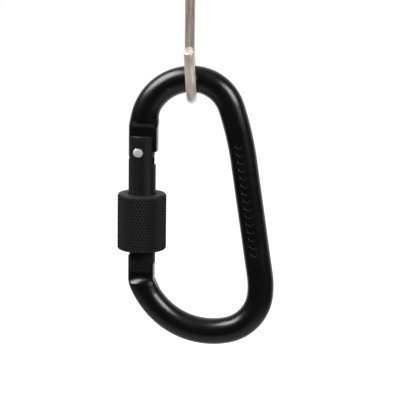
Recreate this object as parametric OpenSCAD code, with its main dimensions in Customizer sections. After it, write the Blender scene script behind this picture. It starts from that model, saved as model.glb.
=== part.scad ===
// Carabiner keyring: a D-shaped snap link with a knurled screw-lock gate, hanging on a wire hook.
// Lengths are millimetres. The origin is the centre of the hook's eye, Z is up, and the front
// face looks towards -Y. The link itself is drawn from its crown and then hung under the hook.

/* [Bar] */
// Diameter of the bent bar
bar_d = 7.5; // [7.2:0.1:7.8]
// Distance of the crown from the gate's axis
crown_x = 14.2; // [13.8:0.1:14.6]
// Bend radius from the crown to the gate
crown_gate_r = 14.1; // [13.7:0.1:14.2]
// Turn from the crown to the gate, in degrees
crown_gate_turn = 78; // [76:1:79]
// Bend radius from the crown to the spine
crown_spine_r = 11.6; // [11:0.1:12.5]
// Turn of that bend, in degrees
crown_spine_turn = 71; // [68:1:74]
// Wide bend that runs into the straight spine
shoulder_r = 90; // [70:5:100]
// Slope of the spine away from upright, in degrees
spine_slope = 9; // [8:0.5:10]
// Length of the straight spine
spine_len = 32.8; // [32:0.1:33.5]
// Bend radius where the spine turns towards the basket
hip_r = 24; // [22:1:28]
// Turn of that bend, in degrees
hip_turn = 14; // [12:1:15]
// Tightest bend, at the spine's end of the basket
basket_r = 12.2; // [12:0.1:12.6]
// Turn of that bend, in degrees
basket_turn = 71; // [69:1:73]
// Bend radius along the bottom of the basket
belly_r = 21; // [20.5:0.5:21.5]
// Turn of that bend, in degrees
belly_turn = 62; // [60:1:64]
// Bend radius that rises to the nose
nose_r = 25; // [23:1:27]

/* [Tongues] */
// Distance that both tongues sit outside the gate's axis
tongue_offset = 0.15; // [0:0.05:0.2]
// Thickness of the milled tongues
tongue_t = 4.1; // [3.9:0.1:4.2]
// Radius of the hollow shoulder above the hinge tongue
hinge_mill_r = 3; // [2.6:0.1:3.2]
// Radius of the hollow shoulder below the nose tongue
nose_mill_r = 4; // [3.8:0.1:4.2]
// Tilt of the nose's hollow shoulder, in degrees
nose_tilt = 14; // [10:1:16]
// Level where the hinge shoulder begins
hinge_shoulder_z = -14.4; // [-14.5:0.05:-14.3]
// Level where the nose shoulder begins
nose_shoulder_z = -56.1; // [-56.3:0.1:-56]
// Rounding of the hinge tongue's end
tongue_corner_r = 1.8; // [1.6:0.1:2]
// How far the flattened hinge tongue bulges to the inside of the link
tongue_bulge = 0.75; // [0.5:0.05:0.8]
// Lower end of that bulge
bulge_end_z = -20.75; // [-20.8:0.05:-20.5]
// Distance from the rivet to the hinge tongue's end
tongue_end = 2.3; // [2.2:0.1:2.4]
// Top of the nose
nose_tip_z = -50.8; // [-50.9:0.05:-50.7]
// Level of the step on the nose's inner side
nose_step_z = -53.4; // [-53.6:0.1:-53.3]
// Inner face of the nose above the step
nose_step_x = 1.8; // [1.6:0.1:1.8]

/* [Gate] */
// Diameter of the gate
gate_d = 7.75; // [7.7:0.05:7.8]
// Top of the gate
gate_top_z = -16.3; // [-16.4:0.1:-16.2]
// Bottom of the gate
gate_bottom_z = -55.5; // [-55.7:0.1:-55.4]
// Clearance on each side of a tongue
slot_gap = 0.15; // [0.1:0.05:0.2]
// Floor of the hinge slot
hinge_slot_z = -24.8; // [-25:0.1:-24.7]
// Top of the heel that closes the outer side of the hinge slot
heel_z = -23.05; // [-23.3:0.05:-23]
// Top of the latch slot, which is open to the outside of the link
latch_slot_z = -48.8; // [-49:0.1:-48.7]
// Top of the latch slot where it also opens to the inside
latch_open_z = -53; // [-53.1:0.1:-52.9]
// Inner wall of the latch slot, which the nose rests against
latch_wall_x = 1.9; // [1.85:0.05:2]
// Rivet's place along X
rivet_x = -0.6; // [-0.7:0.1:-0.5]
// Rivet's level
rivet_z = -20.9; // [-21:0.1:-20.8]
// Diameter of the rivet's shank
rivet_d = 2; // [1.8:0.1:2.1]
// Diameter of the rivet's heads
rivet_head_d = 2.9; // [2.8:0.1:3]
// Height of a head's dome
rivet_dome = 0.35; // [0.2:0.05:0.4]
// Play between the rivet and the hinge tongue, on the radius
rivet_play = 0.05; // [0.03:0.01:0.08]

/* [Closing spring] */
// Bore for the spring and plunger
bore_d = 3.4; // [3.3:0.05:3.5]
// Floor of that bore
bore_z = -37; // [-38:0.5:-36]
// Outer diameter of the plunger
plunger_d = 3.25; // [3.15:0.05:3.25]
// Length of the plunger's head
plunger_head = 3.2; // [3:0.1:3.4]
// Outer diameter of the spring
spring_d = 3; // [2.8:0.1:3.1]
// Spring wire
spring_wire = 0.45; // [0.4:0.05:0.5]
// Turns of the spring
spring_turns = 9; // [7:1:10]

/* [Lock sleeve] */
// Outer diameter of the sleeve
sleeve_d = 14; // [13.6:0.1:14.4]
// Top of the sleeve when it is unlocked
sleeve_top_z = -33; // [-33.2:0.1:-32.8]
// Length of the sleeve
sleeve_len = 16.1; // [15.9:0.1:16.1]
// Bevel on the sleeve's outer edges
sleeve_bevel = 0.5; // [0.3:0.1:0.7]
// Play between the sleeve and the gate, on the radius
sleeve_play = 0.08; // [0.05:0.01:0.1]
// Length of the plain lip at the sleeve's top
lip_len = 2.4; // [2.3:0.1:2.5]
// Diameter over the gate's screw thread
thread_d = 8.8; // [8.7:0.1:8.9]
// Top of the screw thread
thread_top_z = -44; // [-44.1:0.1:-43.9]
// Length of the screw thread
thread_len = 4.6; // [4.4:0.1:4.7]
// Thickness of the rubber ring in the lip
ring_t = 1; // [0.9:0.05:1]

/* [Spine marks] */
// Number of slanted grip marks on the spine
mark_count = 15; // [9:1:17]
// Length of the row of marks
mark_row = 31; // [28:1:32]
// Distance of the first mark above the straight spine
mark_lead = 4.8; // [3:0.1:4.8]
// Width of the row
mark_w = 2.3; // [2:0.1:2.6]
// Width of one groove
mark_t = 0.5; // [0.4:0.1:0.6]
// Depth of a groove
mark_depth = 0.35; // [0.3:0.05:0.4]

/* [Hook] */
// Diameter of the hook's wire
wire_d = 2.9; // [2.7:0.1:3]
// Clearance between the wire and the bar
hook_gap = 0.25; // [0.2:0.05:0.4]
// Distance of the hook from the crown, towards the gate
hook_shift = 1.2; // [0.8:0.1:1.4]
// Turn of the hook about its shank's direction, in degrees
hook_twist = 6; // [4:1:8]
// Height of the eye's centre above the crown
eye_z = 30; // [29:0.5:34]
// Turn of the eye's loop, in degrees
eye_turn = 292; // [285:1:292]
// Height of the front leg's straight part above the bar's centre
tip_straight = 3; // [2:0.5:4]
// Radius of the front leg's outward bend
tip_r = 14; // [12:1:20]
// Outward turn of the front leg, in degrees
tip_turn = 9; // [5:1:12]
// Straight length of the tip above its bend
tip_len = 4.3; // [2:0.1:5]

/* [Hidden] */
$fn = 64;
bar_r = bar_d / 2;
gate_r = gate_d / 2;
wire_r = wire_d / 2;
slot_t = tongue_t + 2 * slot_gap;
past = 1;
lap = 0.1;
hair = 0.03;
tongue_left = -tongue_offset - bar_r - hair;
tongue_right = -tongue_offset + bar_r + hair;
tongue_end_z = rivet_z - tongue_end;
bulge_top_z = -11.4;
hook_r = bar_r + hook_gap + wire_r;
sleeve_bore_d = gate_d + 2 * sleeve_play;
nut_d = thread_d + 2 * sleeve_play;
ring_r = gate_r + 0.03 + ring_t / 2;
ring_z = sleeve_top_z - lip_len / 2;
head_seat = 3.2;
head_rim = 0.3;

// A place on the bar's centreline is [x, z, heading]: bends turn the heading clockwise.
function ahead(p, len) = [p[0] + len * cos(p[2]), p[1] + len * sin(p[2]), p[2]];
function hub(p, r) = [p[0] + r * sin(p[2]), p[1] - r * cos(p[2])];
function turned(p, r, turn) =
    [hub(p, r)[0] - r * sin(p[2] - turn), hub(p, r)[1] + r * cos(p[2] - turn), p[2] - turn];

crown = [crown_x, 0, 0];
neck = [crown_x - crown_gate_r * sin(crown_gate_turn), crown_gate_r * (cos(crown_gate_turn) - 1), crown_gate_turn];
neck_len = (neck[0] + tongue_offset) / cos(crown_gate_turn);
shoulder = turned(crown, crown_spine_r, crown_spine_turn);
spine = turned(shoulder, shoulder_r, 90 - spine_slope - crown_spine_turn);
hip = ahead(spine, spine_len);
basket = turned(hip, hip_r, hip_turn);
belly = turned(basket, basket_r, basket_turn);
rise = turned(belly, belly_r, belly_turn);
nose_turn = rise[2] + 270 - acos((hub(rise, nose_r)[0] + tongue_offset) / nose_r);
nose = turned(rise, nose_r, nose_turn);
kink = ahead(neck, -neck_len);

// Hangs the link under the hook's eye
module hung() {
    translate([hook_shift - crown_x, 0, -eye_z]) children();
}

// A bend of the bar that starts at place p; an inner one is a hair thinner and laps into its neighbours
module bend(p, r, turn, inner = false) {
    extra = inner ? lap / r * 180 / PI : 0;
    translate([hub(p, r)[0], 0, hub(p, r)[1]])
        rotate([90, 0, 0])
            rotate([0, 0, p[2] + 90 - turn - extra])
                rotate_extrude(angle = turn + 2 * extra)
                    translate([r, 0]) circle(d = inner ? bar_d - hair : bar_d);
}

// A straight length of the bar that starts at place p, always an inner one
module straight(p, len) {
    start = ahead(p, -lap);
    translate([start[0], 0, start[1]])
        rotate([0, 90 - p[2], 0]) cylinder(d = bar_d - hair, h = len + 2 * lap);
}

// The milling that leaves a tongue: flat on both faces, with a hollow shoulder of radius r at level z
module milling(z, depth, r, tilt = 0) {
    translate([-tongue_offset, 0, z]) rotate([0, -tilt, 0])
        for (side = [-1, 1]) {
            translate([-bar_d, side * (tongue_t / 2 + r), 0])
                rotate([0, 90, 0]) cylinder(r = r, h = 2 * bar_d);
            translate([-bar_d, side > 0 ? tongue_t / 2 : -tongue_t / 2 - 2 * r, min(0, depth)])
                cube([2 * bar_d, 2 * r, abs(depth)]);
        }
}

// A flat outline in X and Z, made as thick as the bar
module plate() {
    translate([0, bar_d, 0]) rotate([90, 0, 0]) linear_extrude(2 * bar_d) children();
}

// A rectangle with its two corners at level z rounded; tall > 0 runs upwards from z
module rounded_end(left, right, z, tall, r) {
    s = tall > 0 ? 1 : -1;
    translate([left, min(z + s * r, z + tall)]) square([right - left, abs(tall) - r]);
    translate([left + r, min(z, z + s * r)]) square([right - left - 2 * r, r]);
    for (x = [left + r, right - r])
        translate([x, z + s * r]) circle(r = r);
}

module hinge_tongue() {
    intersection() {
        translate([-tongue_offset, 0, tongue_end_z]) cylinder(d = bar_d - hair, h = kink[1] + lap - tongue_end_z);
        plate() rounded_end(tongue_left, tongue_right, tongue_end_z, 20, tongue_corner_r);
    }
    translate([tongue_bulge - tongue_offset, 0, bulge_end_z])
        cylinder(d = bar_d - 3 * hair, h = bulge_top_z - bulge_end_z);
}

module nose_tongue() {
    corner = 0.6;
    translate([-tongue_offset, 0, nose[1] - lap]) cylinder(d = bar_d - hair, h = nose_step_z - nose[1] + lap);
    intersection() {
        translate([-tongue_offset, 0, nose_step_z - lap])
            cylinder(d = bar_d - 2 * hair, h = nose_tip_z - nose_step_z + 2 * lap);
        plate() rounded_end(tongue_left, nose_step_x, nose_tip_z, -20, corner);
    }
}

// A row of short slanted grooves along the front of the spine
module spine_marks() {
    inward = 0.5;
    slant = 25;
    gap = mark_row / (mark_count - 1);
    for (i = [0 : mark_count - 1]) {
        at = ahead(spine, i * gap - mark_lead);
        translate([at[0], -bar_r, at[1]])
            rotate([0, -spine_slope, 0])
                translate([-inward, 0, 0])
                    rotate([0, slant, 0])
                        cube([mark_w, 2 * mark_depth, mark_t], center = true);
    }
}

module frame() {
    color("#151515") hung() difference() {
        union() {
            straight(kink, neck_len);
            bend(neck, crown_gate_r, crown_gate_turn);
            bend(crown, crown_spine_r, crown_spine_turn, inner = true);
            bend(shoulder, shoulder_r, 90 - spine_slope - crown_spine_turn);
            straight(spine, spine_len);
            bend(hip, hip_r, hip_turn);
            bend(basket, basket_r, basket_turn, inner = true);
            bend(belly, belly_r, belly_turn);
            bend(rise, nose_r, nose_turn, inner = true);
            for (z = [kink[1], nose[1]])
                translate([-tongue_offset, 0, z]) sphere(d = bar_d + hair);
            hinge_tongue();
            nose_tongue();
        }
        milling(hinge_shoulder_z, tongue_end_z - hinge_shoulder_z - past, hinge_mill_r);
        milling(nose_shoulder_z, nose_tip_z - nose_shoulder_z + 2 * past, nose_mill_r, nose_tilt);
        translate([rivet_x, 0, rivet_z])
            rotate([90, 0, 0]) cylinder(d = rivet_d + 2 * rivet_play, h = bar_d, center = true);
        spine_marks();
    }
}

// One half of the rivet, from the middle to its domed head
module rivet_half() {
    dome_r = (pow(rivet_head_d / 2, 2) + pow(rivet_dome, 2)) / (2 * rivet_dome);
    cylinder(d = rivet_d, h = head_seat);
    translate([0, 0, head_seat]) cylinder(d = rivet_head_d, h = head_rim);
    intersection() {
        translate([0, 0, head_seat + head_rim]) cylinder(d = rivet_head_d, h = rivet_dome);
        translate([0, 0, head_seat + head_rim + rivet_dome - dome_r]) sphere(r = dome_r);
    }
}

module hinge_rivet() {
    color("#d8d8d8") hung()
        translate([rivet_x, 0, rivet_z])
            for (side = [-90, 90]) rotate([side, 0, 0]) rivet_half();
}

// The gate's turned outline: a rod with bevelled ends and a raised screw thread
module gate_rod() {
    bevel = 0.3;
    run_out = 0.4;
    thread_r = thread_d / 2;
    thread_end_z = thread_top_z - thread_len;
    rotate_extrude() polygon([
        [0, gate_bottom_z], [gate_r - bevel, gate_bottom_z], [gate_r, gate_bottom_z + bevel],
        [gate_r, thread_end_z], [thread_r, thread_end_z + run_out],
        [thread_r, thread_top_z - run_out], [gate_r, thread_top_z],
        [gate_r, gate_top_z - bevel], [gate_r - bevel, gate_top_z], [0, gate_top_z]
    ]);
}

module gate() {
    corner = 0.8;
    seat_d = rivet_head_d + 0.1;
    heel_x = -3.15;
    heel_slope = 1.35;
    color("#1c1c1c") hung() difference() {
        gate_rod();
        translate([0, slot_t / 2, 0]) rotate([90, 0, 0]) linear_extrude(slot_t) polygon([
            [-gate_d, heel_z], [heel_x, heel_z], [heel_x + heel_slope, hinge_slot_z],
            [gate_d, hinge_slot_z], [gate_d, gate_top_z + past], [-gate_d, gate_top_z + past]
        ]);
        translate([0, 0, bore_z]) cylinder(d = bore_d, h = hinge_slot_z - bore_z + past);
        translate([rivet_x, 0, rivet_z])
            rotate([90, 0, 0]) cylinder(d = rivet_d, h = 2 * gate_d, center = true);
        for (side = [-90, 90])
            translate([rivet_x, 0, rivet_z])
                rotate([side, 0, 0]) translate([0, 0, head_seat]) cylinder(d = seat_d, h = gate_r);
        translate([0, slot_t / 2, 0]) rotate([90, 0, 0]) linear_extrude(slot_t) {
            rounded_end(-gate_d, latch_wall_x, latch_slot_z, -20, corner);
            rounded_end(0, gate_r + corner, latch_open_z, -20, corner);
        }
    }
}

// A closed coil of round wire about the Z axis, swept as one tube
module coil(r, wire, height, turns) {
    sides = 8;
    steps = 20;
    rings = turns * steps;
    ring = [for (k = [0 : rings], s = [0 : sides - 1])
        let(a = 360 * k / steps, b = 360 * s / sides, out = r + wire / 2 * cos(b))
        [out * cos(a), out * sin(a), height * k / rings + wire / 2 * sin(b)]];
    skin = [for (k = [0 : rings - 1], s = [0 : sides - 1])
        let(n = (s + 1) % sides)
        [k * sides + s, k * sides + n, (k + 1) * sides + n, (k + 1) * sides + s]];
    start_cap = [[for (s = [sides - 1 : -1 : 0]) s]];
    end_cap = [[for (s = [0 : sides - 1]) rings * sides + s]];
    polyhedron(points = ring, faces = concat(skin, start_cap, end_cap), convexity = turns);
}

module gate_spring() {
    gap = 0.05;
    top_z = tongue_end_z - gap - plunger_head;
    color("#9a9a9a") hung()
        translate([0, 0, bore_z + gap + spring_wire / 2])
            coil((spring_d - spring_wire) / 2, spring_wire, top_z - bore_z - 2 * gap - spring_wire, spring_turns);
}

// A headed pin: the head meets the tongue's end, and the stem guides the spring
module spring_plunger() {
    gap = 0.05;
    stem_d = 1.8;
    stem_len = 6;
    color("#b0a070") hung()
        translate([0, 0, tongue_end_z - gap - plunger_head]) {
            cylinder(d = plunger_d, h = plunger_head);
            translate([0, 0, -stem_len]) cylinder(d = stem_d, h = stem_len);
        }
}

module friction_ring() {
    color("#2a2a2a") hung()
        translate([0, 0, ring_z]) rotate_extrude() translate([ring_r, 0]) circle(d = ring_t);
}

// The sleeve's turned outline, from the bottom of its bore round to the ring groove in its lip
module lock_sleeve() {
    bevel = 0.4;
    outer = sleeve_d / 2;
    bore = sleeve_bore_d / 2;
    nut = nut_d / 2;
    groove_r = ring_r + ring_t / 2 + 0.05;
    groove_half = ring_t / 2 + 0.05;
    low = sleeve_top_z - sleeve_len;
    color("#202020") hung() rotate_extrude() polygon([
        [nut + bevel, low], [outer - sleeve_bevel, low], [outer, low + sleeve_bevel],
        [outer, sleeve_top_z - sleeve_bevel], [outer - sleeve_bevel, sleeve_top_z],
        [bore + bevel, sleeve_top_z], [bore, sleeve_top_z - bevel],
        [bore, ring_z + groove_half], [groove_r, ring_z + groove_half],
        [groove_r, ring_z - groove_half], [bore, ring_z - groove_half],
        [bore, sleeve_top_z - lip_len], [nut, sleeve_top_z - lip_len], [nut, low + bevel]
    ]);
}

// A bend of the hook's wire in the YZ plane, from angle a round to angle a + turn
module wire_bend(r, a, turn) {
    rotate([90, 0, 90]) rotate([0, 0, a]) rotate_extrude(angle = turn) translate([r, 0]) circle(d = wire_d);
}

// A straight length of the hook's wire, a hair thinner, which laps into the bend at each end
module wire(len) {
    translate([0, 0, -lap]) cylinder(d = wire_d - hair, h = len + 2 * lap);
}

module hook() {
    color("#b4a898") rotate([0, 0, hook_twist]) {
        wire_bend(hook_r, 0, eye_turn);
        translate([0, hook_r, -eye_z]) wire(eye_z);
        translate([0, 0, -eye_z]) wire_bend(hook_r, 180, 180);
        translate([0, -hook_r, -eye_z]) {
            wire(tip_straight);
            translate([0, -tip_r, tip_straight]) {
                wire_bend(tip_r, 0, tip_turn);
                rotate([tip_turn, 0, 0]) translate([0, tip_r, 0]) wire(tip_len);
            }
        }
    }
}

frame();
hinge_rivet();
gate();
gate_spring();
spring_plunger();
friction_ring();
lock_sleeve();
hook();
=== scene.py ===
"""Carabiner keyring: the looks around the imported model. Lengths are in mm unless a name says otherwise."""

import math

import bmesh
import bpy
from mathutils import Matrix, Vector


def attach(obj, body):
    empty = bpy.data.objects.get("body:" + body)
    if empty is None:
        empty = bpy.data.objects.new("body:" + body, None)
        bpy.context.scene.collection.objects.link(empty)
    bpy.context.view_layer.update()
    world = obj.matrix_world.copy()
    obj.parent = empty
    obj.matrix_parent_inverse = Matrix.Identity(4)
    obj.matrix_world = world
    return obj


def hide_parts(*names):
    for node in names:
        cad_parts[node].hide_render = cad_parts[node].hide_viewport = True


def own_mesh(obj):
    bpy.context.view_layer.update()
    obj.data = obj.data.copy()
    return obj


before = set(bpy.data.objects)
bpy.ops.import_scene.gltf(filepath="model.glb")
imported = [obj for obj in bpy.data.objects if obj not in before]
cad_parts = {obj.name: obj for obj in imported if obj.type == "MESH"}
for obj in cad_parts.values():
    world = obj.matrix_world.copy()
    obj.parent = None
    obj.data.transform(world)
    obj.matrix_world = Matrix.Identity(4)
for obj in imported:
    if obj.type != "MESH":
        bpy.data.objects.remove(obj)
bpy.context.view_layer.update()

MM = 0.001
# The link is drawn from its crown, on the gate's axis, and then hung under the hook's eye.
HUNG_X, HUNG_Z = -13.0, -30.0

# The bar and its tongues: milled flats with hollow shoulders, the nose's hollow tilted and crowned.
BAR_R = 3.75
TONGUE_X, TONGUE_HALF, TONGUE_REACH = -0.15, 2.05, 16.0
HINGE_SHOULDER_Z, HINGE_MILL_R = -14.4, 3.0
NOSE_SHOULDER_Z, NOSE_MILL_R, NOSE_TILT, NOSE_CROWN = -55.8, 3.3, math.tan(math.radians(14)), 0.07
HINGE_END_Z, HINGE_END_R = -23.2, 1.8
NOSE_TIP_Z, NOSE_TIP_R = -50.8, 0.6
NOSE_STEP_Z, NOSE_STEP_X = -53.4, 1.8
EDGE_R = 0.16
# The hinge tongue stands out on the inside of the link down to a nick, and both tongues are flat there.
BULGE, BULGE_END_Z, BULGE_FADE_Z = 0.75, -20.75, (-13.0, -7.0)
NICK_S, NICK_HALF, NICK_CLEAR = BULGE_END_Z - HINGE_END_Z, 0.02, 0.14
SIDE_FLAT, FLAT_REACH, FLAT_FADE = 0.4, 13.0, 3.0
# The centreline's bends as (radius, degrees); the last one runs on until the bar is upright again.
KINK_R, KINK_TURN = 4.5, 12
CROWN_R, CROWN_TURN, CROWN_X = 14.1, 78, 14.2
UPPER_BENDS = [(CROWN_R, CROWN_TURN), (11.6, 71), (90, 10)]
SPINE_LEN = 32.8
LOWER_BENDS = [(24, 14), (12.2, 71), (21, 62)]
NOSE_BEND_R = 25
# Cross-sections of the bar: close together near its ends, with these many points across.
FINE_STEP, FINE_REACH, COARSE_STEP = 0.12, 14, 0.5
SIDE_STEPS, CORNER_STEPS, FLAT_STEPS = 17, 3, 8
# Grip marks: slanted grooves a little to the inner side of the spine's front.
MARK_COUNT, MARK_ROW, MARK_LEAD, MARK_IN, MARK_SLANT = 15, 31.0, 4.8, 0.5, math.radians(25)
MARK_HALF, MARK_WIDE, MARK_DEPTH, MARK_WALL, MARK_LIP = 1.15, 0.96, 0.32, 0.42, 0.55
# The slant of the grid fades over this length beyond the row and these degrees round the bar.
SLANT_NEAR, SLANT_FADE, SLANT_SWING, SLANT_SWING_FADE = 4, 3, 22, 40

GATE_R = 3.875
GATE_TOP_Z, GATE_BOTTOM_Z = -16.3, -55.5
SLOT_HALF = 2.2
HINGE_SLOT_Z, HEEL_X, HEEL_Z, HEEL_RUN = -24.8, -3.15, -23.05, 1.35
LATCH_SLOT_Z, LATCH_OPEN_Z, LATCH_WALL_X, LATCH_CORNER = -48.8, -53.0, 1.9, 0.8
THREAD_R, THREAD_TOP_Z, THREAD_LEN, THREAD_PITCH = 4.4, -44.0, 4.6, 1.25
BORE_R, BORE_Z = 1.7, -37.0
RIVET_X, RIVET_Z, RIVET_R, RIVET_HEAD_R, RIVET_PLAY = -0.6, -20.9, 1.0, 1.45, 0.05
HEAD_SEAT, HEAD_RIM, HEAD_DOME = 3.2, 0.3, 0.35
DIMPLE_R, DIMPLE_DEPTH = 0.42, 0.09

SLEEVE_R, SLEEVE_TOP_Z, SLEEVE_LEN, SLEEVE_BEVEL = 7.0, -33.0, 16.1, 0.5
SLEEVE_BORE_R, NUT_R, LIP_LEN, MOUTH = 3.955, 4.48, 2.4, 0.4
# The knurl: diamonds by crossing grooves, in steps of a grid whose lines run along them.
KNURL_STARTS, KNURL_STEPS, KNURL_DEPTH, KNURL_WIDE = 44, 8, 0.18, 4
KNURL_TAN = math.tan(math.radians(30))
RING_T, RING_R, RING_Z = 1.0, 4.405, -34.2
PLUNGER_LEN, PLUNGER_R, PLUNGER_HEAD_LEN, PLUNGER_HEAD_R = 9.2, 0.9, 3.2, 1.625
COIL_WIRE_R, COIL_R, COIL_TURNS, COIL_CLOSED = 0.225, 1.275, 9, 1.4
# Clearance between pieces that would otherwise share a surface.
HAIR = 0.05

# The hook: eye, shank, bend, a short rise and a flared tip; its bend leans along the bar.
WIRE_R, HOOK_R, EYE_TURN, HOOK_TWIST = 1.45, 5.45, 292, math.radians(6)
LEG_RISE, FLARE_R, FLARE_TURN = 3, 14, 9
TIP_LEN, TIP_SLANT, TIP_SIDE, TIP_LIP = 4.3, 0.52, 0.12, 0.22
HOOK_LEAN, LEAN_TOP_Z, LEAN_SPAN = 0.85, -20.0, 15.0


def clamp(value):
    return max(0.0, min(1.0, value))


def smooth(t):
    """Eases a share from 0 to 1."""
    return t * t * (3 - 2 * t)


# ---------------------------------------------------------------- meshes
def mesh_object(name, points, faces, sharp_deg=35, hung=True):
    """A closed smooth-shaded piece from points in millimetres; edges sharper than sharp_deg stay crisp."""
    shift = Vector((HUNG_X, 0, HUNG_Z)) if hung else Vector()
    mesh = bpy.data.meshes.new(name)
    mesh.from_pydata([(Vector(p) + shift) * MM for p in points], [], faces)
    work = bmesh.new()
    work.from_mesh(mesh)
    bmesh.ops.remove_doubles(work, verts=work.verts, dist=1e-8)
    bmesh.ops.dissolve_degenerate(work, edges=work.edges, dist=1e-8)
    bmesh.ops.recalc_face_normals(work, faces=work.faces)
    work.to_mesh(mesh)
    work.free()
    mesh.shade_smooth()
    mesh.set_sharp_from_angle(angle=math.radians(sharp_deg))
    piece = bpy.data.objects.new(name, mesh)
    bpy.context.scene.collection.objects.link(piece)
    return piece


def bake_modifiers(piece, sharp_deg=35):
    """Replaces the piece's mesh with what its modifiers make of it."""
    seen = piece.evaluated_get(bpy.context.evaluated_depsgraph_get())
    mesh = bpy.data.meshes.new_from_object(seen)
    piece.modifiers.clear()
    piece.data = mesh
    mesh.shade_smooth()
    mesh.set_sharp_from_angle(angle=math.radians(sharp_deg))


def cut(piece, cutters, sharp_deg=35):
    """Takes the cutters out of the piece and removes them."""
    for cutter in cutters:
        tool = piece.modifiers.new("cut", "BOOLEAN")
        tool.operation, tool.solver, tool.object = "DIFFERENCE", "EXACT", cutter
    bpy.context.view_layer.update()
    bake_modifiers(piece, sharp_deg)
    for cutter in cutters:
        bpy.data.objects.remove(cutter)


def round_edges(piece, width, angle_deg=40, segments=3, skip=None):
    """Rounds the piece's crisp edges by width, except where skip(point in millimetres) is true."""
    mesh = piece.data
    work = bmesh.new()
    work.from_mesh(mesh)
    bmesh.ops.remove_doubles(work, verts=work.verts, dist=2e-6)
    bmesh.ops.dissolve_limit(work, angle_limit=math.radians(0.5), verts=work.verts, edges=work.edges)
    crisp = []
    for edge in work.edges:
        middle = (edge.verts[0].co + edge.verts[1].co) / (2 * MM) - Vector((HUNG_X, 0, HUNG_Z))
        if len(edge.link_faces) == 2 and edge.calc_face_angle(0) > math.radians(angle_deg):
            if not (skip and skip(middle)):
                crisp.append(edge)
    bmesh.ops.bevel(
        work, geom=crisp, offset=width * MM, offset_type="OFFSET", segments=segments, profile=0.5,
        affect="EDGES", clamp_overlap=True, miter_outer="ARC",
    )
    work.to_mesh(mesh)
    work.free()
    mesh.shade_smooth()
    mesh.set_sharp_from_angle(angle=math.radians(angle_deg - 5))


def grid_faces(rows, columns, close_rows=False):
    """Quads of a grid whose columns always close round."""
    faces = []
    for i in range(rows if close_rows else rows - 1):
        for k in range(columns):
            n, j = (k + 1) % columns, (i + 1) % rows
            faces.append((i * columns + k, i * columns + n, j * columns + n, j * columns + k))
    return faces


def lathe(name, profile, columns, radial=None, closed=False, sharp_deg=35, place=None, split=None):
    """A turned piece. radial(i, k) is added to the radius of profile point i at column k; place moves
    a point; split(i, k) is 1 or -1 where the face above it is cut along a rising or a falling diagonal."""
    points = []
    for i, (r, z) in enumerate(profile):
        for k in range(columns):
            angle = math.tau * k / columns
            out = r + (radial(i, k) if radial else 0)
            p = (out * math.cos(angle), out * math.sin(angle), z)
            points.append(place(p) if place else p)
    faces = []
    for at, (a, b, c, d) in enumerate(grid_faces(len(profile), columns, closed)):
        way = split(*divmod(at, columns)) if split else 0
        if way > 0:
            faces += [(a, b, c), (a, c, d)]
        elif way < 0:
            faces += [(a, b, d), (b, c, d)]
        else:
            faces.append((a, b, c, d))
    return mesh_object(name, points, faces, sharp_deg)


def rounded(corners, sizes, steps=4):
    """A profile with its corners rounded: a size of 0 keeps a corner."""
    made = []
    for i, (corner, size) in enumerate(zip(corners, sizes)):
        if not size:
            made.append(corner)
            continue
        c = Vector(corner)
        before, after = Vector(corners[i - 1]) - c, Vector(corners[(i + 1) % len(corners)]) - c
        a, b = c + before.normalized() * size, c + after.normalized() * size
        for k in range(steps + 1):
            t = k / steps
            made.append(tuple(a * (1 - t) ** 2 + c * 2 * t * (1 - t) + b * t**2))
    return made


def prism(name, outline, low, high, axis="Y"):
    """A cutter: an outline of (x, z) points, or of (x, y) points along Z, from low to high."""
    def at(p, level):
        return (p[0], level, p[1]) if axis == "Y" else (p[0], p[1], level)

    count = len(outline)
    points = [at(p, low) for p in outline] + [at(p, high) for p in outline]
    faces = [tuple(range(count)), tuple(range(2 * count - 1, count - 1, -1))]
    faces += [(k, (k + 1) % count, (k + 1) % count + count, k + count) for k in range(count)]
    return mesh_object(name, points, faces)


def circle(x, y, r, count):
    angles = [math.tau * k / count for k in range(count)]
    return [(x + r * math.cos(angle), y + r * math.sin(angle)) for angle in angles]


# ---------------------------------------------------------------- the bar's line
class Line:
    """The bar's centreline: straights and clockwise bends, joined end to end."""

    def __init__(self, x, z, heading):
        self.parts, self.end, self.length = [], (x, z, heading), 0.0

    def add(self, length, radius=None):
        self.parts.append((self.length, self.end, length, radius))
        self.end = self.walk(self.end, length, radius)
        self.length += length
        return self

    def bend(self, radius, turn):
        return self.add(radius * math.radians(turn), radius)

    @staticmethod
    def walk(start, length, radius):
        x, z, heading = start
        if radius is None:
            return x + length * math.cos(heading), z + length * math.sin(heading), heading
        hub_x, hub_z = x + radius * math.sin(heading), z - radius * math.cos(heading)
        heading -= length / radius
        return hub_x - radius * math.sin(heading), hub_z + radius * math.cos(heading), heading

    def at(self, s):
        s = min(max(s, 0.0), self.length)
        found = [p for p in self.parts if p[0] <= s + 1e-9][-1]
        return self.walk(found[1], s - found[0], found[3])


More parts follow.
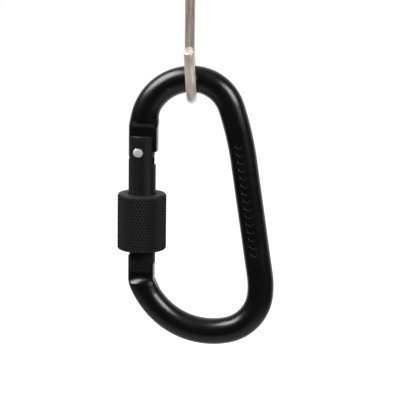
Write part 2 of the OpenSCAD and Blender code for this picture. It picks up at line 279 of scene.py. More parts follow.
def bar_line():
    """From the hinge tongue's end over the crown, down the spine and round the basket to the nose's tip."""
    turn = math.radians(CROWN_TURN)
    neck_x, neck_z = CROWN_X - CROWN_R * math.sin(turn), CROWN_R * (math.cos(turn) - 1)
    neck_len = (neck_x - TONGUE_X) / math.cos(turn)
    kink_z = neck_z - neck_len * math.sin(turn)
    trim = KINK_R * math.tan(math.radians(KINK_TURN / 2))
    line = Line(TONGUE_X, HINGE_END_Z, math.pi / 2)
    line.add(kink_z - trim - HINGE_END_Z).bend(KINK_R, KINK_TURN).add(neck_len - trim)
    for radius, degrees in UPPER_BENDS:
        line.bend(radius, degrees)
    line.marks_start = line.length - MARK_LEAD
    line.add(SPINE_LEN)
    for radius, degrees in LOWER_BENDS:
        line.bend(radius, degrees)
    x, _, heading = line.end
    hub_x = x + NOSE_BEND_R * math.sin(heading)
    left = math.acos((hub_x - TONGUE_X - KINK_R) / (NOSE_BEND_R - KINK_R))
    line.bend(NOSE_BEND_R, math.degrees(heading + 1.5 * math.pi - left)).bend(KINK_R, math.degrees(left))
    return line.add(NOSE_TIP_Z - line.end[1])


def milled_half(from_start, from_end, x, z):
    """Half the bar's thickness where it is milled to a tongue, with its hollow shoulder; large elsewhere."""
    if min(from_start, from_end) > TONGUE_REACH:
        return 2 * BAR_R
    if from_start < from_end:
        rise, r = z - HINGE_SHOULDER_Z, HINGE_MILL_R
    else:
        lean = (x - TONGUE_X) * (NOSE_TILT - NOSE_CROWN * (x - TONGUE_X))
        rise, r = NOSE_SHOULDER_Z + lean - z, NOSE_MILL_R
    if rise <= 0:
        return TONGUE_HALF
    if rise >= r:
        return 2 * BAR_R
    return TONGUE_HALF + r - math.sqrt(r**2 - rise**2)


def bulge(from_start, z):
    """How far the flattened hinge tongue stands out on the inside of the link."""
    if from_start > 2 * TONGUE_REACH or z < BULGE_END_Z:
        return 0.0
    low, high = BULGE_FADE_Z
    return BULGE * (1 - smooth(clamp((z - low) / (high - low))))


def corner_reach(depth, r):
    """How far a rounded corner stands back from its side, at a depth below the end."""
    return 0.0 if depth >= r else r - math.sqrt(r**2 - (r - depth) ** 2)


def quarter(r, half, side_limit, columns):
    """Points (a, y) from the side of the bar to its flat: the round side and the rounded corner.
    half(a) is half the thickness at offset a. Also gives the offset where the flat begins."""
    inner = r - EDGE_R

    def meets_flat(angle):
        return inner * math.sin(angle) > half(inner * math.cos(angle)) - EDGE_R

    steps, halvings = 90, 20
    found = math.pi / 2
    for k in range(steps + 1):
        angle = math.pi / 2 * k / steps
        if meets_flat(angle):
            low, high = math.pi / 2 * (k - 1) / steps, angle
            for _ in range(halvings):
                mid = (low + high) / 2
                if meets_flat(mid):
                    high = mid
                else:
                    low = mid
            found = (low + high) / 2
            break
    centre_a, centre_y, first = inner * math.cos(found), inner * math.sin(found), found
    if side_limit - EDGE_R < centre_a:
        centre_a, first = side_limit - EDGE_R, 0.0
    top = centre_y + EDGE_R * math.sin(first)
    if first:
        points = [(min(r * math.cos(first * u), side_limit), r * math.sin(first * u)) for u in columns]
    else:
        points = [(min(math.sqrt(r**2 - (top * u) ** 2), side_limit), top * u) for u in columns]
    for k in range(1, CORNER_STEPS + 1):
        angle = first + (math.pi / 2 - first) * k / CORNER_STEPS
        points.append((centre_a + EDGE_R * math.cos(angle), centre_y + EDGE_R * math.sin(angle)))
    return points, centre_a


def mark_columns():
    """Shares of a right angle where the grooves' ends lie, on the outer and the inner side of the front."""
    def share(a):
        return math.acos(abs(a) / BAR_R) / (math.pi / 2)

    outer = [share(-MARK_IN + MARK_HALF), share(-MARK_IN + MARK_HALF - MARK_WALL)]
    inner = [share(-MARK_IN - MARK_HALF), share(-MARK_IN - MARK_HALF + MARK_WALL)]
    return outer, inner


def spread_columns(extra):
    """Even shares from 0 to 1 with the extra ones in place of their nearest."""
    shares = [k / (SIDE_STEPS - 1) for k in range(SIDE_STEPS)]
    for value in extra:
        near = min(range(1, SIDE_STEPS - 1), key=lambda k: abs(shares[k] - value))
        shares[near] = value
    return sorted(shares)


def corner_depths(r, rows):
    """Depths below an end that share a rounded corner out evenly."""
    return [r * (1 - math.cos(math.radians(90 * k / rows))) for k in range(rows + 1)]


def frame_stations(line):
    """Where the bar's cross-sections lie, as (distance, past the nose's step), and the grooves' floors."""
    stations, floors = set(), set()
    s = 0.0
    while s < line.length:
        stations.add(round(s, 4))
        s += FINE_STEP if min(s, line.length - s) < FINE_REACH else COARSE_STEP
    stations |= {round(depth, 4) for depth in corner_depths(HINGE_END_R, 10)}
    stations |= {round(line.length - depth, 4) for depth in corner_depths(NOSE_TIP_R, 6)}

    first, clear = line.marks_start, 0.6
    wide, pitch = MARK_WIDE / 2, MARK_ROW / (MARK_COUNT - 1)
    stations = {v for v in stations if not first - clear < v < first + MARK_ROW + clear}
    for i in range(MARK_COUNT):
        centre = first + i * pitch
        low = {round(centre + d, 4) for d in (-wide + MARK_WALL, 0, wide - MARK_WALL)}
        floors |= low
        stations |= low | {round(centre + d, 4) for d in (-wide, wide, -MARK_LIP, MARK_LIP, pitch / 2)}

    step_s = line.length - (NOSE_TIP_Z - NOSE_STEP_Z)
    stations |= {round(step_s, 4)} | {round(NICK_S + d, 4) for d in (-NICK_HALF, NICK_HALF, NICK_CLEAR)}
    stations = {v for v in stations if not NICK_HALF + 0.001 < abs(v - NICK_S) < NICK_CLEAR - 0.01}
    ordered, least = [], 0.02
    for s in sorted(stations | {round(line.length, 4)}):
        if ordered and s - ordered[-1][0] < least and s not in floors:
            continue
        if abs(s - step_s) < 1e-3:
            ordered.append((s, False))
            ordered.append((s, True))
        else:
            ordered.append((s, s > step_s))
    return ordered, floors


def bar_section(line, s, stepped, outer_cols, inner_cols):
    """The bar's outline at s: points (a, y) all round it, with a towards the outside of the bends."""
    x, z, heading = line.at(s)
    from_end = line.length - s
    flat_in = 0.0
    if min(s, from_end) < TONGUE_REACH and s > NICK_S:
        flat_in = SIDE_FLAT * clamp((FLAT_REACH - min(s, from_end)) / FLAT_FADE)
    limit_out, limit_in = BAR_R, BAR_R - flat_in
    wide_in = (BAR_R + bulge(s, z)) / (BAR_R - flat_in)
    if s < HINGE_END_R:
        limit_out = BAR_R - corner_reach(s, HINGE_END_R)
        limit_in = min(limit_out, limit_in)
    if stepped:
        wide_in = 1.0
        limit_out = BAR_R - corner_reach(from_end, NOSE_TIP_R)
        limit_in = NOSE_STEP_X - TONGUE_X - corner_reach(from_end, NOSE_TIP_R)

    def half(a):
        return milled_half(s, from_end, x - a * math.sin(heading), z + a * math.cos(heading))

    out_points, out_flat = quarter(BAR_R, half, limit_out, outer_cols)
    in_points, in_flat = quarter(BAR_R, lambda a: half(-a), limit_in, inner_cols)
    in_points = [(-a * wide_in, y) for a, y in in_points]
    in_flat *= wide_in
    flat = []
    for k in range(1, FLAT_STEPS):
        a = out_flat + (-in_flat - out_flat) * k / FLAT_STEPS
        flat.append((a, min(half(a), math.sqrt(max(0.0, BAR_R**2 - a * a)))))
    upper = out_points + flat + in_points[::-1]
    return [(a, -y) for a, y in upper] + [(a, y) for a, y in upper[::-1][1:-1]]


def slanted(line, s, a, y, deep):
    """A front point near the marks: slid along the bar with the slanted grid, sunk on a groove's floor."""
    first, last = line.marks_start, line.marks_start + MARK_ROW
    angle = math.acos(max(-1.0, min(1.0, a / BAR_R)))
    zone = clamp((s - first + SLANT_NEAR) / SLANT_FADE) * clamp((last + SLANT_NEAR - s) / SLANT_FADE)
    swing = math.degrees(abs(angle - math.acos(-MARK_IN / BAR_R)))
    fade = clamp(1 - (swing - SLANT_SWING) / SLANT_SWING_FADE)
    slide = (BAR_R * math.cos(angle) + MARK_IN) * math.tan(MARK_SLANT) * zone * fade
    x, z, heading = line.at(s + slide)
    floor_half = MARK_HALF - MARK_WALL + 1e-3
    if deep and abs(a + MARK_IN) < floor_half:
        sunk = 1 - MARK_DEPTH / BAR_R
        a, y = a * sunk, y * sunk
    return x - a * math.sin(heading), y, z + a * math.cos(heading)


def build_frame():
    line = bar_line()
    outer_marks, inner_marks = mark_columns()
    outer_cols, inner_cols = spread_columns(outer_marks), spread_columns(inner_marks)
    stations, floors = frame_stations(line)
    first, last = line.marks_start, line.marks_start + MARK_ROW
    margin = SLANT_NEAR + 1
    points = []
    for s, stepped in stations:
        x, z, heading = line.at(s)
        section = bar_section(line, s, stepped, outer_cols, inner_cols)
        for a, y in section:
            if y < 0 and first - margin < s < last + margin:
                points.append(slanted(line, s, a, y, round(s, 4) in floors))
            else:
                points.append((x - a * math.sin(heading), y, z + a * math.cos(heading)))
    columns, count = len(section), len(points)
    faces = grid_faces(len(stations), columns)
    faces += [tuple(range(columns)), tuple(range(count - columns, count))]
    sharp_deg = 30
    piece = mesh_object("frame_bar", points, faces, sharp_deg)
    hole = prism("hole", circle(RIVET_X, RIVET_Z, RIVET_R + RIVET_PLAY, 48), -BAR_R, BAR_R)
    cut(piece, [hole], sharp_deg)
    return piece


# ---------------------------------------------------------------- gate
def build_gate():
    bevel, run_out, soft_edge = 0.3, 0.4, 0.14
    rows, columns = 58, 120
    thread_end = THREAD_TOP_Z - THREAD_LEN
    profile = [(0, GATE_BOTTOM_Z), (GATE_R - bevel, GATE_BOTTOM_Z), (GATE_R, GATE_BOTTOM_Z + bevel)]
    band = len(profile)
    profile += [(GATE_R, thread_end + THREAD_LEN * k / rows) for k in range(rows + 1)]
    profile += [(GATE_R, GATE_TOP_Z - bevel), (GATE_R - bevel, GATE_TOP_Z), (0, GATE_TOP_Z)]

    def thread(i, k):
        if not band <= i <= band + rows:
            return 0.0
        z = THREAD_LEN * (i - band) / rows
        phase = (z / THREAD_PITCH - k / columns) % 1.0
        crest = clamp((0.5 - abs(phase - 0.5)) * 4 - 0.5)
        ease = clamp(min(z / run_out, (THREAD_LEN - z) / run_out))
        return (THREAD_R - GATE_R) * crest * ease

    piece = lathe("gate_rod", profile, columns, thread)
    wide, above_z, below_z = 2 * GATE_R, -10, -60
    slot_outline = [
        (-wide, HEEL_Z), (HEEL_X, HEEL_Z), (HEEL_X + HEEL_RUN, HINGE_SLOT_Z),
        (wide, HINGE_SLOT_Z), (wide, above_z), (-wide, above_z),
    ]
    slot = prism("slot", slot_outline, -SLOT_HALF, SLOT_HALF)
    latch_corners = [
        (-wide, below_z), (wide, below_z), (wide, LATCH_OPEN_Z), (LATCH_WALL_X, LATCH_OPEN_Z),
        (LATCH_WALL_X, LATCH_SLOT_Z), (-wide, LATCH_SLOT_Z),
    ]
    latch_outline = rounded(latch_corners, [0, 0, 0, 0, LATCH_CORNER, 0])
    latch = prism("latch", latch_outline, -SLOT_HALF, SLOT_HALF)
    bore = prism("bore", circle(0, 0, BORE_R, 40), BORE_Z, HINGE_SLOT_Z + 1, "Z")
    pin = prism("pin", circle(RIVET_X, RIVET_Z, RIVET_R, 48), -wide, wide)
    seat_outline = circle(RIVET_X, RIVET_Z, RIVET_HEAD_R + RIVET_PLAY, 56)
    seats = [prism("seat", seat_outline, -wide, -HEAD_SEAT), prism("seat", seat_outline, HEAD_SEAT, wide)]
    cut(piece, [slot, latch, bore, pin, *seats])

    def plain(p):
        """The thread, the rivet's seats and the bore's mouth keep their edges."""
        in_band = thread_end - 0.2 < p.z < THREAD_TOP_Z + 0.2
        by_rivet = math.hypot(p.x - RIVET_X, p.z - RIVET_Z) < RIVET_HEAD_R + 0.4
        in_bore = math.hypot(p.x, p.y) < BORE_R + 0.3 and p.z < HINGE_SLOT_Z + 0.2
        return in_band or by_rivet or in_bore

    round_edges(piece, soft_edge, skip=plain)
    return piece


def build_rivet():
    """A pin between two domed heads, each with a shallow dimple in the middle."""
    steps, bevel, rim_bevel = 9, 0.05, 0.04
    dome_r = (RIVET_HEAD_R**2 + HEAD_DOME**2) / (2 * HEAD_DOME)
    half = [
        (RIVET_R, 0), (RIVET_R, HEAD_SEAT), (RIVET_HEAD_R - bevel, HEAD_SEAT),
        (RIVET_HEAD_R, HEAD_SEAT + bevel), (RIVET_HEAD_R, HEAD_SEAT + HEAD_RIM - rim_bevel),
    ]
    for k in range(steps + 1):
        r = (RIVET_HEAD_R - bevel) * (1 - k / steps)
        lift = math.sqrt(dome_r**2 - r**2) - (dome_r - HEAD_DOME)
        dimple = DIMPLE_DEPTH * math.exp(-((r / DIMPLE_R) ** 2))
        half.append((r, HEAD_SEAT + HEAD_RIM + lift - dimple))
    profile = [(r, -z) for r, z in half[::-1]] + half[1:]
    return lathe(
        "hinge_rivet_pin", profile, 48, sharp_deg=45,
        place=lambda p: (p[0] + RIVET_X, p[2], -p[1] + RIVET_Z),
    )


# ---------------------------------------------------------------- sleeve
def build_sleeve():
    """The knurled sleeve: a lip that holds the friction ring, and a wider bore below it."""
    low = SLEEVE_TOP_Z - SLEEVE_LEN
    columns = KNURL_STARTS * KNURL_STEPS
    knurl_low, knurl_high = low + SLEEVE_BEVEL, SLEEVE_TOP_Z - SLEEVE_BEVEL
    row_height = math.tau * SLEEVE_R / columns / KNURL_TAN
    rows = round((knurl_high - knurl_low) / row_height)
    groove_out, groove_half = RING_R + RING_T / 2 + HAIR, RING_T / 2 + HAIR
    foot_corners = [(SLEEVE_R - SLEEVE_BEVEL, low), (NUT_R + MOUTH, low), (NUT_R, low + MOUTH)]
    foot = rounded(foot_corners, [0, 0.1, 0.1], 2)
    inner = [
        (SLEEVE_BORE_R + MOUTH, SLEEVE_TOP_Z), (SLEEVE_BORE_R, SLEEVE_TOP_Z - MOUTH),
        (SLEEVE_BORE_R, RING_Z + groove_half), (groove_out, RING_Z + groove_half),
        (groove_out, RING_Z - groove_half), (SLEEVE_BORE_R, RING_Z - groove_half),
        (SLEEVE_BORE_R, SLEEVE_TOP_Z - LIP_LEN), (NUT_R, SLEEVE_TOP_Z - LIP_LEN),
    ]
    bevel_r, bevel_rise = SLEEVE_R - 0.3, 0.12
    bevel_low = [(SLEEVE_R - SLEEVE_BEVEL, low), (bevel_r, low + bevel_rise)]
    bevel_high = [(bevel_r, SLEEVE_TOP_Z - bevel_rise), (SLEEVE_R - SLEEVE_BEVEL, SLEEVE_TOP_Z)]
    outer = [(SLEEVE_R, knurl_low + (knurl_high - knurl_low) * k / rows) for k in range(rows + 1)]
    start = len(bevel_low)
    profile = bevel_low + outer + bevel_high + inner + foot[::-1]

    def knurl(i, k):
        row = i - start
        if not 0 <= row <= rows:
            return 0.0
        away = []
        for value in (k + row, k - row):
            rest = value % KNURL_STEPS
            away.append(min(rest, KNURL_STEPS - rest))
        return -KNURL_DEPTH * max(0.0, 1 - min(away) / KNURL_WIDE)

    def along_valley(i, k):
        row = i - start
        if 0 <= row < rows and (k - row) % KNURL_STEPS == 0:
            return 1
        if 0 <= row < rows and (k + row + 1) % KNURL_STEPS == 0:
            return -1
        return 0

    return lathe(
        "lock_sleeve_knurled", profile, columns, knurl, closed=True, sharp_deg=12, split=along_valley,
    )


def build_ring():
    profile = circle(RING_R, RING_Z, RING_T / 2, 20)
    return lathe("friction_ring_rubber", profile, 72, closed=True)


def build_plunger():
    top = HINGE_END_Z - HAIR
    neck = top - PLUNGER_HEAD_LEN
    corners = [
        (0, top - PLUNGER_LEN), (PLUNGER_R, top - PLUNGER_LEN), (PLUNGER_R, neck),
        (PLUNGER_HEAD_R, neck), (PLUNGER_HEAD_R, top), (0, top),
    ]
    return lathe("spring_plunger_pin", rounded(corners, [0, 0.2, 0.08, 0.15, 0.3, 0]), 48)


def build_spring():
    """A closed coil of round wire whose end turns lie flat."""
    low = BORE_Z + HAIR + COIL_WIRE_R
    high = HINGE_END_Z - HAIR - PLUNGER_HEAD_LEN - HAIR - COIL_WIRE_R
    rings, sides = COIL_TURNS * 32, 14
    end_pitch = 2 * COIL_WIRE_R * 0.55
    points = []
    for k in range(rings + 1):
        t = k / rings
        turned = t * COIL_TURNS
        left = COIL_TURNS - turned
        even = low + (high - low) * t
        end = low + end_pitch * turned if t < 0.5 else high - end_pitch * left
        slope = 1 - smooth(min(1.0, turned / COIL_CLOSED) * min(1.0, left / COIL_CLOSED))
        z = even * (1 - slope) + end * slope
        angle = math.tau * turned
        for j in range(sides):
            b = math.tau * j / sides
            r = COIL_R + COIL_WIRE_R * math.cos(b)
            points.append((r * math.cos(angle), r * math.sin(angle), z + COIL_WIRE_R * math.sin(b)))
    faces = grid_faces(rings + 1, sides)
    faces += [tuple(range(sides)), tuple(range(rings * sides, (rings + 1) * sides))]
    return mesh_object("gate_spring_coil", points, faces)


# ---------------------------------------------------------------- hook
def hook_line():
    """Points (y, z, heading) from the eye down the shank, round the bend and up the front leg to its tip."""
    stops = []

    def arc(cy, cz, r, a0, a1, steps):
        side = 1 if a1 > a0 else -1
        for k in range(steps + 1):
            a = math.radians(a0 + (a1 - a0) * k / steps)
            stops.append((cy + r * math.cos(a), cz + r * math.sin(a), a + side * math.pi / 2))

    shank_steps, rise_steps, tip_steps = 40, 5, 6
    arc(0, 0, HOOK_R, EYE_TURN, 0, 96)
    for k in range(1, shank_steps):
        stops.append((HOOK_R, HUNG_Z * k / shank_steps, -math.pi / 2))
    arc(0, HUNG_Z, HOOK_R, 0, -180, 64)
    for k in range(1, rise_steps):
        stops.append((-HOOK_R, HUNG_Z + LEG_RISE * k / rise_steps, math.pi / 2))
    arc(-HOOK_R - FLARE_R, HUNG_Z + LEG_RISE, FLARE_R, 0, FLARE_TURN, 6)
    y, z, heading = stops[-1]
    for k in range(1, tip_steps + 1):
        reach = TIP_LEN * k / tip_steps
        stops.append((y + reach * math.cos(heading), z + reach * math.sin(heading), heading))
    return stops


def build_hook():
    """One wire, bent in the YZ plane and then twisted about the upright and leant along the bar."""
    stops, sides, points = hook_line(), 40, []

    def ring(stop, r, back=0.0, slant=0.0):
        """A ring of points about the wire's line; slant shears a cut end, with its front edge lowest."""
        y, z, heading = stop
        for j in range(sides):
            b = math.tau * j / sides
            x, u = r * math.sin(b), r * math.cos(b)
            along = back - slant * (TIP_SLANT * (u + WIRE_R) + TIP_SIDE * (WIRE_R - x))
            py = y - u * math.sin(heading) + along * math.cos(heading)
            pz = z + u * math.cos(heading) + along * math.sin(heading)
            lean = HOOK_LEAN * smooth(clamp((LEAN_TOP_Z - pz) / LEAN_SPAN))
            points.append((
                x * math.cos(HOOK_TWIST) - py * math.sin(HOOK_TWIST) + lean,
                x * math.sin(HOOK_TWIST) + py * math.cos(HOOK_TWIST), pz,
            ))

    # The slanted tip takes the place of the last few rings.
    lip_steps, under_cut = 4, 5
    turns = [math.radians(90 * k / lip_steps) for k in range(lip_steps)]
    for a in turns:
        ring(stops[0], WIRE_R - TIP_LIP * (1 - math.sin(a)), TIP_LIP * (1 - math.cos(a)))
    for stop in stops[1:-under_cut]:
        ring(stop, WIRE_R)
    for a in turns[::-1]:
        ring(stops[-1], WIRE_R - TIP_LIP * (1 - math.sin(a)), -TIP_LIP * (1 - math.cos(a)), 1.0)
    rows = len(points) // sides
    faces = grid_faces(rows, sides)
    faces += [tuple(range(sides)), tuple(range((rows - 1) * sides, rows * sides))]
    return mesh_object("wire_hook", points, faces, hung=False)


# ---------------------------------------------------------------- materials
class Look:
    """A node material with a Principled shader; helper calls add procedural detail."""

    def __init__(self, name, colour, metallic=0.0, roughness=0.5, specular=0.5):
        self.material = bpy.data.materials.new(name)
        self.material.use_nodes = True
        self.nodes, self.links = self.material.node_tree.nodes, self.material.node_tree.links
        self.shader = self.nodes["Principled BSDF"]
        self.set("Base Color", (*colour, 1))
        self.set("Metallic", metallic)
        self.set("Roughness", roughness)
        self.set("Specular IOR Level", specular)
        self.place = self.nodes.new("ShaderNodeTexCoord").outputs["Object"]
        self.normal = None

    def set(self, socket, value):
        self.shader.inputs[socket].default_value = value

    def link(self, a, b):
        self.links.new(a, b)

    def noise(self, scale, detail=3.0, rough=0.55, stretch=(1, 1, 1)):
        """Noise with scale in lumps per metre, drawn out where stretch is under 1."""
        mapping = self.nodes.new("ShaderNodeMapping")
        mapping.inputs["Scale"].default_value = stretch
        self.link(self.place, mapping.inputs["Vector"])
        made = self.nodes.new("ShaderNodeTexNoise")
        made.inputs["Scale"].default_value = scale
        made.inputs["Detail"].default_value = detail
        made.inputs["Roughness"].default_value = rough
        self.link(mapping.outputs["Vector"], made.inputs["Vector"])
        return made.outputs["Fac"]

    def specks(self, scale, low, high):
        """Sparse dots from a cell texture: 1 inside a dot."""
        cells = self.nodes.new("ShaderNodeTexVoronoi")
        cells.inputs["Scale"].default_value = scale
        self.link(self.place, cells.inputs["Vector"])
        return self.ramp(cells.outputs["Distance"], low, high, 1.0, 0.0)

    def ramp(self, value, low, high, out_low=0.0, out_high=1.0):
        """Maps low..high to out_low..out_high and holds the ends."""
        node = self.nodes.new("ShaderNodeMapRange")
        node.clamp = True
        for key, number in zip(("From Min", "From Max", "To Min", "To Max"), (low, high, out_low, out_high)):
            node.inputs[key].default_value = number
        self.link(value, node.inputs["Value"])
        return node.outputs["Result"]

    def math(self, operation, a, b):
        node = self.nodes.new("ShaderNodeMath")
        node.operation = operation
        for socket, value in zip(node.inputs, (a, b)):
            if isinstance(value, (int, float)):
                socket.default_value = value
            else:
                self.link(value, socket)
        return node.outputs[0]

    def height(self, low, high):
        """0 below low and 1 above high, in metres up the piece."""
        split = self.nodes.new("ShaderNodeSeparateXYZ")
        self.link(self.place, split.inputs["Vector"])
        return self.ramp(split.outputs["Z"], low, high)

    def edges(self, low=0.52, high=0.6):
        """1 along worn outer edges."""
        geometry = self.nodes.new("ShaderNodeNewGeometry")
        return self.ramp(geometry.outputs["Pointiness"], low, high)

    def mix(self, share, a, b):
        node = self.nodes.new("ShaderNodeMix")
        node.data_type = "RGBA"
        self.link(share, node.inputs["Factor"])
        for socket, value in ((node.inputs[6], a), (node.inputs[7], b)):
            if isinstance(value, tuple):
                socket.default_value = (*value, 1)
            else:
                self.link(value, socket)
        return node.outputs[2]

    def colour(self, value):
        self.link(value, self.shader.inputs["Base Color"])

    def roughness(self, value):
        self.link(value, self.shader.inputs["Roughness"])

    def bump(self, height, distance_m, strength=1.0):
        node = self.nodes.new("ShaderNodeBump")
        node.inputs["Strength"].default_value = strength
        node.inputs["Distance"].default_value = distance_m
        self.link(height, node.inputs["Height"])
        if self.normal is not None:
            self.link(self.normal, node.inputs["Normal"])
        self.normal = node.outputs["Normal"]
        self.link(self.normal, self.shader.inputs["Normal"])


def bar_look():
    """Satin black paint: a faint orange peel, rub marks, edges rubbed a little paler."""
    look = Look("bar_paint", (0.001, 0.001, 0.001), roughness=0.2, specular=0.5)
    broad = look.noise(140, 4)
    fine = look.noise(2600, 3)
    rubs = look.noise(900, 4, 0.7, (1, 1, 0.12))
    worn = look.math("MULTIPLY", look.edges(0.52, 0.62), look.ramp(look.noise(700, 5, 0.7), 0.3, 0.6))
    tone = look.mix(broad, (0.0008, 0.0008, 0.0008), (0.0014, 0.0013, 0.0012))
    look.colour(look.mix(worn, tone, (0.05, 0.048, 0.045)))
    base = look.ramp(broad, 0.3, 0.7, 0.25, 0.32)
    look.roughness(look.math("ADD", base, look.ramp(rubs, 0.62, 0.8, 0.0, 0.08)))
    look.bump(fine, 0.000004, 0.15)
    return look.material


def gate_look():
    """Flat black anodised rod with fine turning lines round it."""
    look = Look("gate_anodised", (0.009, 0.009, 0.009), roughness=0.6, specular=0.22)
    lines = look.noise(5200, 2, 0.5, (0.02, 0.02, 1))
    cloud = look.noise(260, 4)
    scuffs = look.ramp(look.noise(900, 4, 0.7, (1, 1, 0.25)), 0.6, 0.78, 0.0, 0.4)
    tone = look.mix(cloud, (0.0032, 0.0032, 0.0033), (0.0048, 0.0048, 0.0048))
    look.colour(look.mix(scuffs, tone, (0.014, 0.0137, 0.0133)))
    look.roughness(look.ramp(lines, 0.3, 0.7, 0.5, 0.66))
    look.bump(lines, 0.000012, 0.5)
    look.bump(look.noise(7000, 2), 0.00001, 0.3)
    return look.material


def sleeve_look():
    """Flat black knurled sleeve, its diamond tops rubbed a shade paler."""
    look = Look("sleeve_anodised", (0.01, 0.01, 0.01), roughness=0.55, specular=0.24)
    cloud = look.noise(300, 4)
    tops = look.math("MULTIPLY", look.edges(0.5, 0.56), look.ramp(cloud, 0.3, 0.7, 0.4, 1.0))
    tone = look.mix(cloud, (0.004, 0.004, 0.0041), (0.006, 0.006, 0.006))
    look.colour(look.mix(tops, tone, (0.012, 0.0118, 0.0115)))
    look.roughness(look.ramp(look.noise(1500, 3), 0.3, 0.7, 0.5, 0.66))
    look.bump(look.noise(6500, 2), 0.00001, 0.35)
    return look.material


def rivet_look():
    """Bright steel, hammered over: soft dents and fine scratches."""
    look = Look("rivet_steel", (0.82, 0.82, 0.83), metallic=0.45, roughness=0.28)
    look.colour(look.mix(look.noise(1800, 4), (0.72, 0.72, 0.73), (0.95, 0.95, 0.95)))
    look.roughness(look.ramp(look.noise(2600, 4), 0.3, 0.7, 0.2, 0.42))
    look.bump(look.noise(1500, 2), 0.00006, 0.6)
    look.bump(look.noise(9000, 3, 0.6, (1, 1, 0.1)), 0.00001, 0.5)
    return look.material


def hook_look():
    """Nickel-plated wire: drawing lines, dulled patches, and a smoother shank with brown streaks of tarnish
    and painted dark reflection bands.
    """
    look = Look("hook_nickel", (0.6, 0.56, 0.51), metallic=0.62, roughness=0.36)
    drawn = look.noise(3600, 3, 0.6, (1, 1, 0.03))
    patches = look.noise(420, 5, 0.65)
    dull = look.ramp(patches, 0.5, 0.72)
    upper = look.height(-0.025, -0.021)
    plating = look.mix(dull, (0.96, 0.86, 0.76), (0.76, 0.65, 0.55))
    # Brown streaks on the upper shank: some tarnish, and painted dark reflection bands.
    tarnish_and_reflection_streaks = look.ramp(look.noise(1500, 4, 0.6, (1, 1, 0.05)), 0.42, 0.6, 0.15, 0.75)
    look.colour(look.mix(look.math("MULTIPLY", upper, tarnish_and_reflection_streaks), plating, (0.3, 0.24, 0.19)))
    bright = look.math("MULTIPLY", upper, -0.12)
    rubbed = look.math("ADD", look.ramp(patches, 0.3, 0.7, 0.32, 0.42), bright)
    look.roughness(look.math("ADD", rubbed, look.ramp(drawn, 0.4, 0.7, 0.0, 0.06)))
    look.bump(drawn, 0.00001, 0.4)
    look.bump(look.specks(1300, 0.05, 0.12), 0.00002, 0.4)
    return look.material


def steel_look():
    """Drawn spring wire, mottled grey."""
    look = Look("spring_steel_wire", (0.5, 0.5, 0.52), metallic=1.0, roughness=0.3)
    look.colour(look.mix(look.noise(1500, 3), (0.4, 0.4, 0.42), (0.58, 0.57, 0.56)))
    look.roughness(look.ramp(look.noise(3000, 3), 0.3, 0.7, 0.22, 0.42))
    return look.material


def brass_look():
    """Plain turned brass with fine lines round it."""
    look = Look("plunger_brass_metal", (0.7, 0.52, 0.24), metallic=1.0, roughness=0.35)
    look.colour(look.mix(look.noise(1200, 4), (0.55, 0.38, 0.16), (0.78, 0.6, 0.3)))
    look.roughness(look.ramp(look.noise(5000, 2, 0.5, (0.02, 0.02, 1)), 0.3, 0.7, 0.25, 0.45))
    return look.material


def rubber_look():
    """Dull black rubber."""
    look = Look("ring_rubber_black", (0.02, 0.02, 0.02), roughness=0.8, specular=0.3)
    look.colour(look.mix(look.noise(1800, 3), (0.014, 0.014, 0.014), (0.03, 0.03, 0.03)))
    look.roughness(look.ramp(look.noise(4000, 3), 0.3, 0.7, 0.65, 0.9))
    look.bump(look.noise(5000, 2), 0.00001, 0.4)
    return look.material


# ---------------------------------------------------------------- stage
# Soft boxes: azimuth from the front towards the right, elevation, side in metres and power.
LAMP_DISTANCE = 0.8
LAMPS = [("box_left", -70, 50, 0.56, 11.5), ("box_right", 60, 31, 0.36, 5.2)]


def area_light(name, place, aim, size, watts):
    data = bpy.data.lights.new(name, "AREA")
    data.energy, data.size = watts, size
    light = bpy.data.objects.new(name, data)
    light.location = place
    light.rotation_euler = (Vector(aim) - Vector(place)).to_track_quat("-Z", "Y").to_euler()
    bpy.context.scene.collection.objects.link(light)


def direction(azimuth, elevation):
    """Unit vector, from degrees round from the front to the right and degrees up."""
    a, e = math.radians(azimuth), math.radians(elevation)
    return Vector((math.sin(a) * math.cos(e), -math.cos(a) * math.cos(e), math.sin(e)))


def build_floor():
    """A plain pale floor that curves up into a wall all round, kept out of reflections. In metres."""
    floor_z, flat, bend, top = -0.3, 2.0, 1.2, 3.0
    profile = [(0.0, floor_z), (flat, floor_z)]
    for degrees in range(6, 91, 6):
        a = math.radians(degrees)
        profile.append((flat + bend * math.sin(a), floor_z + bend * (1 - math.cos(a))))
    profile += [(flat + bend, top), (0.0, top)]
    columns = 96
    points = []
    for r, z in profile:
        points += [(x, y, z) for x, y in circle(0, 0, r, columns)]
    mesh = bpy.data.meshes.new("floor")
    mesh.from_pydata(points, [], grid_faces(len(profile), columns))
    mesh.shade_smooth()
    floor = bpy.data.objects.new("floor", mesh)
    bpy.context.scene.collection.objects.link(floor)
    floor.visible_glossy = floor.visible_diffuse = floor.visible_shadow = False
    look = Look("floor_paper", (0.5, 0.5, 0.5), roughness=0.95, specular=0.0)
    look.set("Emission Color", (1, 1, 1, 1))
    look.set("Emission Strength", 0.9)
    mesh.materials.append(look.material)


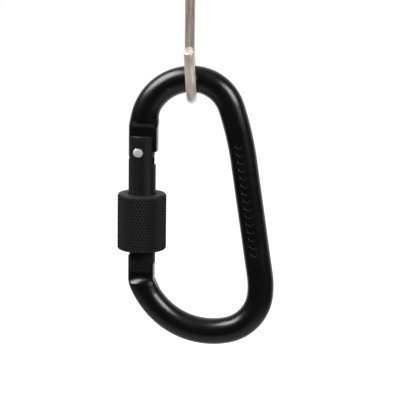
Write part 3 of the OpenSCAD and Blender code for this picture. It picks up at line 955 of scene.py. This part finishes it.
def build_studio():
    """Light for the reflections: bright behind, faint above and below, dark in front, and two soft boxes."""
    world = bpy.data.worlds.new("studio")
    bpy.context.scene.world = world
    world.use_nodes = True
    nodes, links = world.node_tree.nodes, world.node_tree.links
    sight = nodes.new("ShaderNodeTexCoord")
    split = nodes.new("ShaderNodeSeparateXYZ")
    links.new(sight.outputs["Generated"], split.inputs[0])

    def fade(value, low, high, out_low, out_high):
        node = nodes.new("ShaderNodeMapRange")
        node.interpolation_type = "SMOOTHSTEP"
        for key, number in zip(("From Min", "From Max", "To Min", "To Max"), (low, high, out_low, out_high)):
            node.inputs[key].default_value = number
        links.new(value, node.inputs["Value"])
        return node.outputs["Result"]

    def add(a, b):
        node = nodes.new("ShaderNodeMath")
        links.new(a, node.inputs[0])
        links.new(b, node.inputs[1])
        return node.outputs[0]

    behind = fade(split.outputs["Y"], 0.35, 0.9, 0.06, 1.0)
    below = fade(split.outputs["Z"], -0.8, -0.4, 0.45, 0.0)
    above = fade(split.outputs["Z"], 0.7, 1.0, 0.0, 0.25)
    background = nodes["Background"]
    links.new(add(add(behind, below), above), background.inputs["Strength"])
    background.inputs["Color"].default_value = (1, 1, 1, 1)

    middle = Vector((0, 0, -0.06))
    for name, azimuth, elevation, size, watts in LAMPS:
        area_light(name, middle + direction(azimuth, elevation) * LAMP_DISTANCE, middle, size, watts)


def build_camera():
    """The photograph's view: a little from the right and above, with a slight roll."""
    azimuth, elevation, roll = 7, 11, math.radians(0.8)
    distance_m, target = 0.45, Vector((3.64, 0, -64.4)) * MM
    back = direction(azimuth, elevation)
    level = direction(azimuth + 90, 0)
    up = back.cross(level)
    right = math.cos(roll) * level + math.sin(roll) * up
    rolled_up = -math.sin(roll) * level + math.cos(roll) * up
    data = bpy.data.cameras.new("camera")
    data.sensor_width, data.lens = 36.0, 142.83
    data.clip_start, data.clip_end = 0.01, 50
    camera = bpy.data.objects.new("camera", data)
    camera.matrix_world = Matrix((
        (right.x, rolled_up.x, back.x, 0), (right.y, rolled_up.y, back.y, 0),
        (right.z, rolled_up.z, back.z, 0), (0, 0, 0, 1),
    ))
    camera.location = target + back * distance_m
    bpy.context.scene.collection.objects.link(camera)
    bpy.context.scene.camera = camera


def dress(piece, body, node, material):
    """Gives a piece its material, the body it moves with and the CAD node that it stands in for."""
    piece.data.materials.clear()
    piece.data.materials.append(material)
    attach(piece, body)
    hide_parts(node)


build_camera()
build_floor()
build_studio()
bpy.context.scene.view_settings.view_transform = "Standard"

dress(build_frame(), "frame", "frame", bar_look())
dress(build_gate(), "gate", "gate", gate_look())
dress(build_rivet(), "gate", "hinge_rivet", rivet_look())
spring = build_spring()
dress(spring, "gate", "gate_spring", steel_look())
dress(build_plunger(), "plunger", "spring_plunger", brass_look())
dress(build_ring(), "ring", "friction_ring", rubber_look())
dress(build_sleeve(), "sleeve", "lock_sleeve", sleeve_look())
dress(build_hook(), "hook", "hook", hook_look())
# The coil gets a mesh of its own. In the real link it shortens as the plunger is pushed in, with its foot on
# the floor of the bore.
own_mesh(spring)
